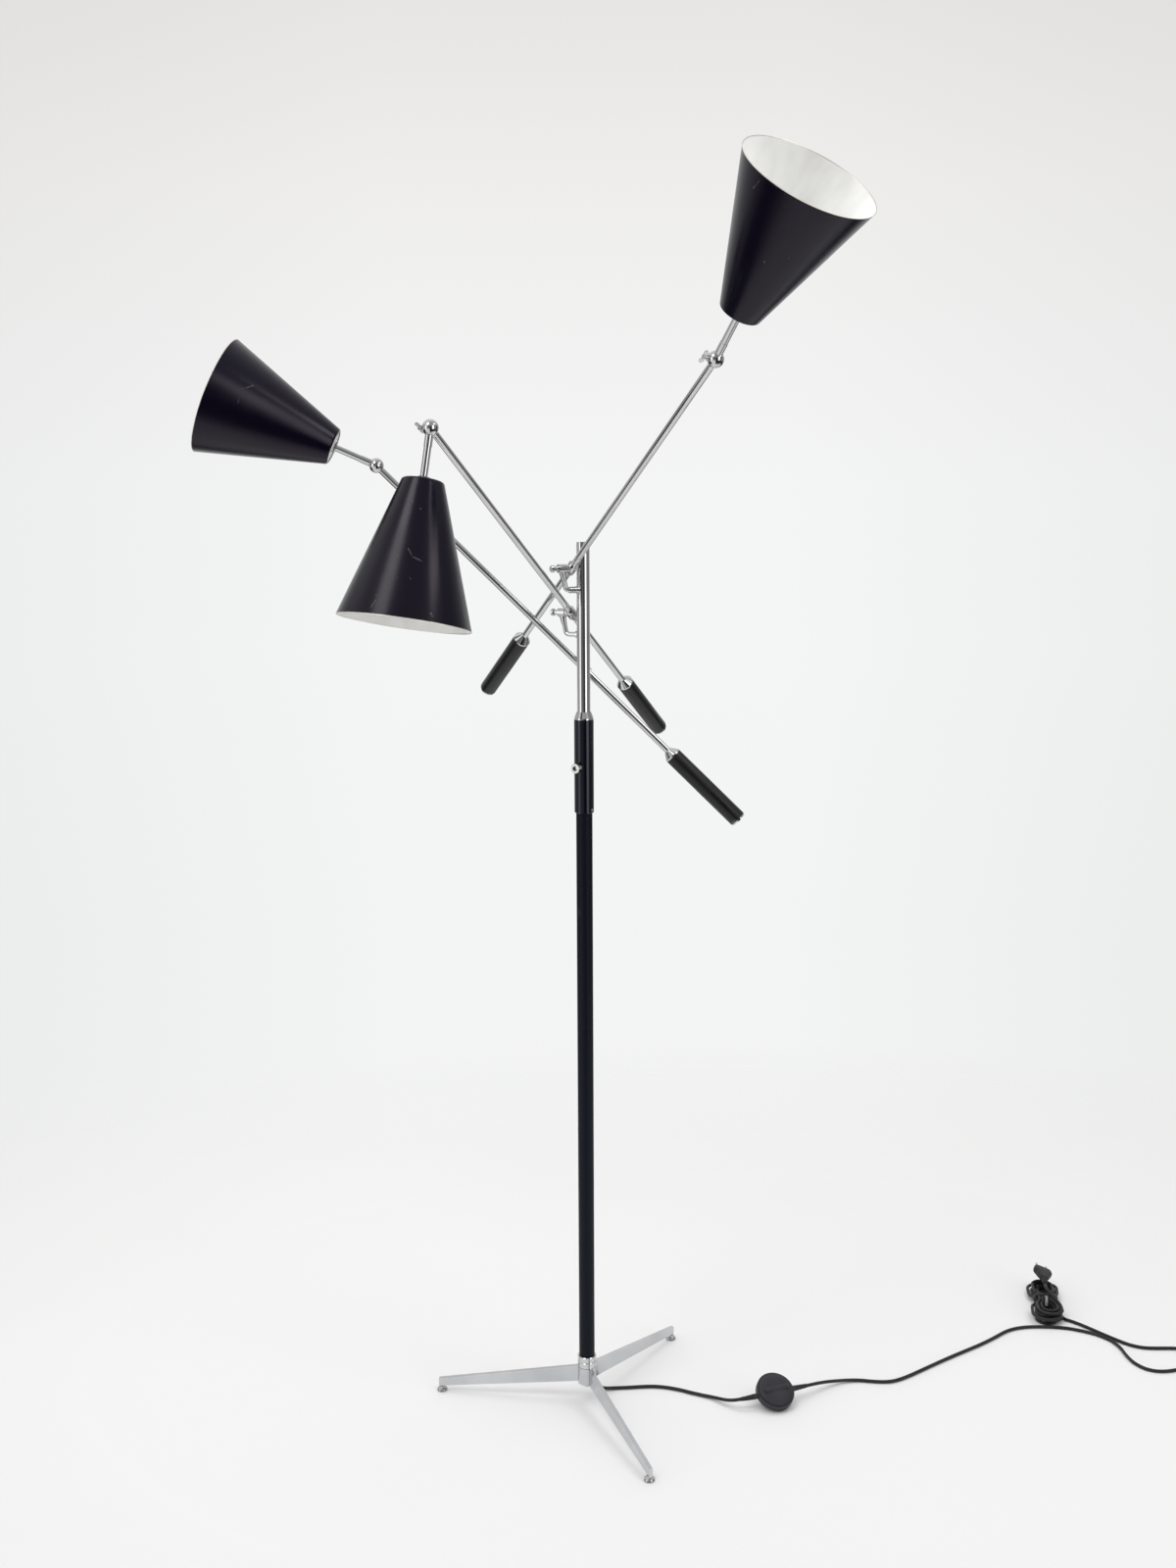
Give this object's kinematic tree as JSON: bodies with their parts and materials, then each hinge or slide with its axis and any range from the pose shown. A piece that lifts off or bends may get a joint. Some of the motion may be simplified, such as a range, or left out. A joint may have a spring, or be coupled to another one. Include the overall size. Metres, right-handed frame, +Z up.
{
  "type": "floor lamp",
  "caption": "Floor lamp on a low splayed base: slim counterbalanced arms pivot on a sliding, swivelling tube and carry conical shades on ball knuckles; corded foot switch.",
  "frame": {"origin": "on the floor, on the axis of the post", "axes": "+Z up along the post, +X to the right and +Y away from the viewer of the picture"},
  "size_m": [1.6328, 0.897, 1.8776],
  "materials": {
    "black_paint": "semi-gloss",
    "chrome": "polished",
    "satin_steel": "satin",
    "weight_paint": "satin",
    "shade_paint": "satin paint, white inside",
    "disc_paint": "matte paint",
    "holder_plastic": "matte",
    "black_plastic": "satin",
    "cord_sheath": "satin"
  },
  "bodies": {
    "base": {"hub": "satin_steel", "hub_collar": "chrome", "leg_left": "satin_steel", "leg_front": "satin_steel", "leg_rear": "satin_steel", "lower_post": "black_paint", "sleeve": "black_paint", "sleeve_set_screw": "satin_steel", "cord_gland": "black_plastic", "cord_near": "cord_sheath", "cord_far": "cord_sheath", "hank": "cord_sheath", "plug": "black_plastic", "switch_base": "black_plastic"},
    "foot_left": {"foot_left": "chrome"},
    "foot_front": {"foot_front": "chrome"},
    "foot_rear": {"foot_rear": "chrome"},
    "sleeve_screw": {"sleeve_screw": "chrome"},
    "guide_collar": {"guide_collar": "chrome"},
    "upper_tube": {"upper_tube": "chrome", "bracket_a": "chrome", "bracket_b": "chrome", "bracket_c": "chrome"},
    "switch_button": {"switch_button": "black_plastic"},
    "pivot_screw_a": {"pivot_screw_a": "chrome"},
    "arm_a": {"pivot_collar_a": "chrome", "arm_tube_a": "chrome", "weight_cap_a": "chrome", "counterweight_a": "weight_paint", "weight_end_a": "chrome", "knuckle_a": "chrome"},
    "wing_screw_a": {"wing_screw_a": "chrome"},
    "shade_a": {"stem_a": "chrome", "shade_a": "shade_paint", "shade_disc_a": "disc_paint", "lamp_holder_a": "holder_plastic"},
    "pivot_screw_b": {"pivot_screw_b": "chrome"},
    "arm_b": {"pivot_collar_b": "chrome", "arm_tube_b": "chrome", "weight_cap_b": "chrome", "counterweight_b": "weight_paint", "weight_end_b": "chrome", "knuckle_b": "chrome"},
    "wing_screw_b": {"wing_screw_b": "chrome"},
    "shade_b": {"stem_b": "chrome", "shade_b": "shade_paint", "shade_disc_b": "disc_paint", "lamp_holder_b": "holder_plastic"},
    "pivot_screw_c": {"pivot_screw_c": "chrome"},
    "arm_c": {"pivot_collar_c": "chrome", "arm_tube_c": "chrome", "weight_cap_c": "chrome", "counterweight_c": "weight_paint", "weight_end_c": "chrome", "knuckle_c": "chrome"},
    "wing_screw_c": {"wing_screw_c": "chrome"},
    "shade_c": {"stem_c": "chrome", "shade_c": "shade_paint", "shade_disc_c": "disc_paint", "lamp_holder_c": "holder_plastic"}
  },
  "joints": [
    {"name": "foot_left_turn", "type": "hinge", "parent": "base", "child": "foot_left", "pos_m": [-0.23905, 0.03062, 0], "axis": [0, 0, 1], "continuous": true},
    {"name": "foot_front_turn", "type": "hinge", "parent": "base", "child": "foot_front", "pos_m": [0.093, -0.22233, 0], "axis": [0, 0, 1], "continuous": true},
    {"name": "foot_rear_turn", "type": "hinge", "parent": "base", "child": "foot_rear", "pos_m": [0.14604, 0.19171, 0], "axis": [0, 0, 1], "continuous": true},
    {"name": "sleeve_screw_turn", "type": "hinge", "parent": "base", "child": "sleeve_screw", "pos_m": [0, 0, 1.048], "axis": [-0.4802, -0.8771, 0], "range_deg": [-180, 180]},
    {"name": "swivel", "type": "hinge", "parent": "base", "child": "guide_collar", "pos_m": [0, 0, 1.12], "axis": [0, 0, 1], "range_deg": [-170, 170]},
    {"name": "tube_slide", "type": "slide", "parent": "guide_collar", "child": "upper_tube", "axis": [0, 0, 1], "range_m": [-0.04, 0.25]},
    {"name": "pivot_screw_a_turn", "type": "hinge", "parent": "upper_tube", "child": "pivot_screw_a", "pos_m": [-0.01755, -0.01153, 1.347], "axis": [-0.8358, -0.549, 0], "range_deg": [-180, 180]},
    {"name": "arm_a_tilt", "type": "hinge", "parent": "upper_tube", "child": "arm_a", "pos_m": [-0.01755, -0.01153, 1.347], "axis": [-0.8358, -0.549, 0], "range_deg": [-50, 6]},
    {"name": "wing_screw_a_turn", "type": "hinge", "parent": "arm_a", "child": "wing_screw_a", "pos_m": [0.17141, -0.29919, 1.62273], "axis": [-0.89, -0.424, 0.1676], "range_deg": [-180, 180]},
    {"name": "shade_a_tilt", "type": "hinge", "parent": "arm_a", "child": "shade_a", "pos_m": [0.17141, -0.29919, 1.62273], "axis": [-0.89, -0.424, 0.1676], "range_deg": [-130.1, 47.9]},
    {"name": "pivot_screw_b_turn", "type": "hinge", "parent": "upper_tube", "child": "pivot_screw_b", "pos_m": [-0.01781, 0.01113, 1.2795], "axis": [-0.848, 0.5299, 0], "range_deg": [-180, 180]},
    {"name": "arm_b_tilt", "type": "hinge", "parent": "upper_tube", "child": "arm_b", "pos_m": [-0.01781, 0.01113, 1.2795], "axis": [-0.848, 0.5299, 0], "range_deg": [-50, 6]},
    {"name": "wing_screw_b_turn", "type": "hinge", "parent": "arm_b", "child": "wing_screw_b", "pos_m": [-0.19709, -0.27577, 1.54003], "axis": [-0.8375, 0.5459, 0.0249], "range_deg": [-180, 180]},
    {"name": "shade_b_tilt", "type": "hinge", "parent": "arm_b", "child": "shade_b", "pos_m": [-0.19709, -0.27577, 1.54003], "axis": [-0.8375, 0.5459, 0.0249], "range_deg": [-2.8, 175.2]},
    {"name": "pivot_screw_c_turn", "type": "hinge", "parent": "upper_tube", "child": "pivot_screw_c", "pos_m": [0.00199, 0.0209, 1.193], "axis": [0.095, 0.9955, 0], "range_deg": [-180, 180]},
    {"name": "arm_c_tilt", "type": "hinge", "parent": "upper_tube", "child": "arm_c", "pos_m": [0.00199, 0.0209, 1.193], "axis": [0.095, 0.9955, 0], "range_deg": [-50, 9]},
    {"name": "wing_screw_c_turn", "type": "hinge", "parent": "arm_c", "child": "wing_screw_c", "pos_m": [-0.31006, 0.05068, 1.49891], "axis": [-0.11, 0.9722, -0.2069], "range_deg": [-180, 180]},
    {"name": "shade_c_tilt", "type": "hinge", "parent": "arm_c", "child": "shade_c", "pos_m": [-0.31006, 0.05068, 1.49891], "axis": [-0.11, 0.9722, -0.2069], "range_deg": [-96.6, 81.4]},
    {"name": "switch_press", "type": "slide", "parent": "base", "child": "switch_button", "axis": [-0.171, 0.4698, -0.866], "range_m": [0, 0.003], "stiffness_N_per_m": 1500, "springref_m": -0.001}
  ]
}
